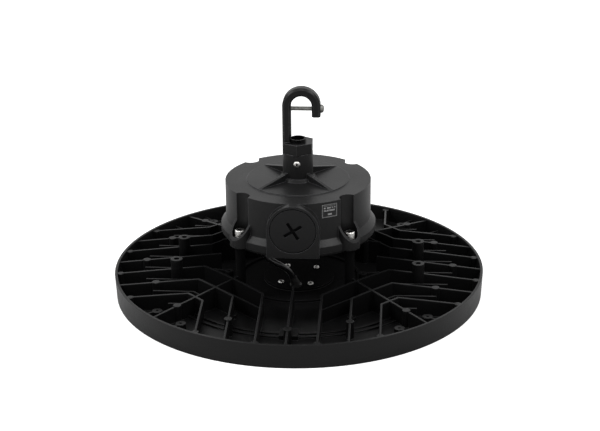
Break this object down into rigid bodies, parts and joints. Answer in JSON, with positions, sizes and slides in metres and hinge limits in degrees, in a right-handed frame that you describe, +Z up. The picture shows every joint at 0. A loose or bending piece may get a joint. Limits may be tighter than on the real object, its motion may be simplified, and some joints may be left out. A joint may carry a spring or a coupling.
{
  "type": "high bay light",
  "caption": "Round high bay light: finned black cast heat sink, cast driver housing on pillars above it, hex collar and hanging hook with a safety screw.",
  "frame": {"origin": "centre of the face of the heat sink's rim that the light rests on, at the bottom of its box", "axes": "+Z up along the stem towards the hook; -Y is the front, with the round port of the driver housing; +X to the right"},
  "size_m": [0.33, 0.33, 0.1874],
  "materials": {
    "cast_black": "satin black powder coat on die-cast aluminium",
    "sheet_black": "black powder coat on sheet",
    "hook_black": "satin black coat on forged steel",
    "steel": "bright zinc-plated steel",
    "stem_dark": "black oxide steel",
    "black_plastic": "moulded nylon",
    "black_rubber": "moulded rubber",
    "grey_silicone": "silicone",
    "clear_lens": "clear polycarbonate",
    "white_board": "white solder mask on an aluminium core",
    "emitter": "yellow phosphor in a white frame",
    "green_board": "glass fibre board",
    "ferrite": "ferrite core with tape round its winding",
    "copper_choke": "enamelled copper wire on a ring core",
    "capacitor_sleeve": "sleeved aluminium can",
    "terminal_green": "moulded nylon",
    "white_plastic": "moulded nylon",
    "sheet_film": "insulating film",
    "cable_black": "black cable sheath"
  },
  "bodies": {
    "root": {"heat_sink": "cast_black", "led_board": "white_board", "light_emitters": "emitter", "lens_plate": "clear_lens", "lens_gasket": "grey_silicone", "lens_screws": "steel", "led_board_screws": "steel", "led_connector": "white_plastic", "hub_cover": "sheet_black", "hub_gasket": "black_rubber", "hub_cover_screws": "steel", "lower_grommet": "black_rubber", "upper_grommet": "black_rubber", "driver_lead": "cable_black", "driver_housing": "cast_black", "driver_base": "sheet_black", "base_gasket": "grey_silicone", "base_screws": "steel", "housing_screws": "steel", "spring_washers": "steel", "flat_washers": "steel", "port_plug": "black_plastic", "port_seal": "black_rubber", "threaded_stem": "stem_dark", "stem_nut": "stem_dark", "stem_lock_screw": "steel", "hook": "hook_black", "hook_safety_screw": "steel", "gland_body": "black_plastic", "gland_dome_nut": "black_plastic", "gland_seal": "black_rubber", "gland_lock_nut": "black_plastic", "driver_board": "green_board", "board_standoffs": "steel", "board_screws": "steel", "standoff_screws": "steel", "transformer": "ferrite", "choke": "copper_choke", "capacitors": "capacitor_sleeve", "terminal_block": "terminal_green", "lead_connector": "white_plastic", "insulating_sheet": "sheet_film"}
  },
  "joints": []
}
